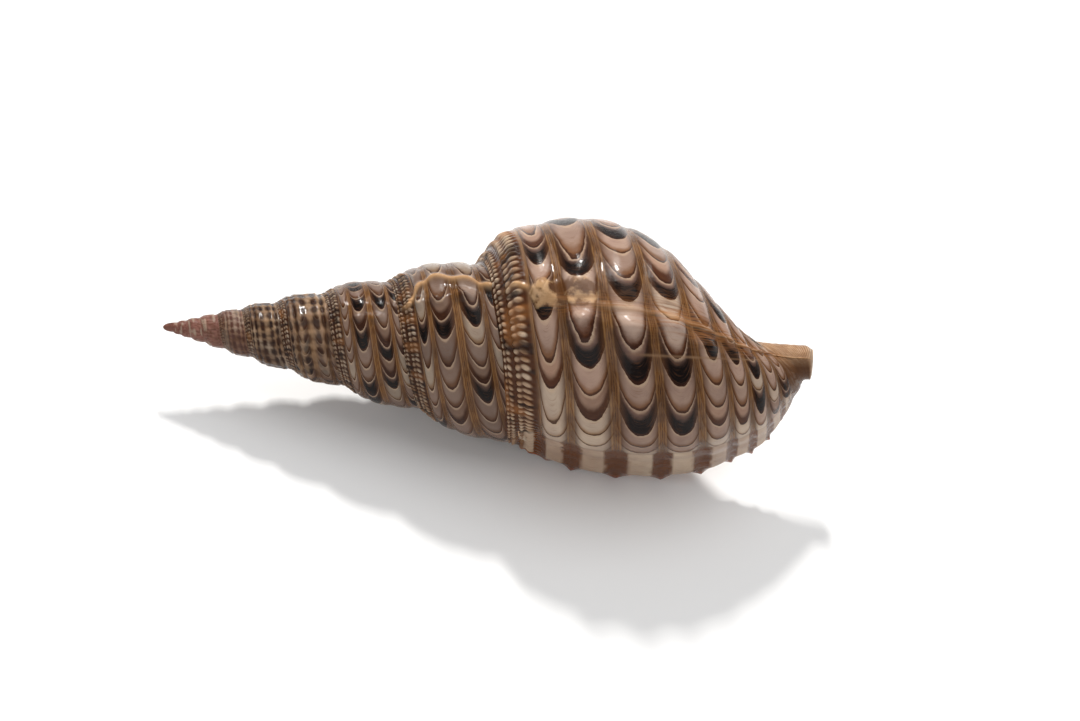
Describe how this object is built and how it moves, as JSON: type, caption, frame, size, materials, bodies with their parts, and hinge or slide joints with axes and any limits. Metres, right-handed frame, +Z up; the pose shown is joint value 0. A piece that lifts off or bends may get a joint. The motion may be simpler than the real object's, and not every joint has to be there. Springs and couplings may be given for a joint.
{
  "type": "triton shell",
  "caption": "Large spiral sea shell with a tapering pointed spire, a swollen ribbed body whorl, a flared outer lip and a short canal; hollow behind its aperture.",
  "frame": {"origin": "middle of the bounding box's underside, on the surface the shell rests on", "axes": "+X along the shell from the apex to the canal, +Z up as the shell lies on its lip and belly, -Y the side of the outer lip"},
  "size_m": [0.3188, 0.1206, 0.1236],
  "materials": {
    "glazed_shell": "glossy porcelain-like shell with brown, cream and tan scale-shaped marks on the ribs and orange-tan grooves between them"
  },
  "bodies": {
    "root": {"triton_shell": "glazed_shell"}
  },
  "joints": []
}
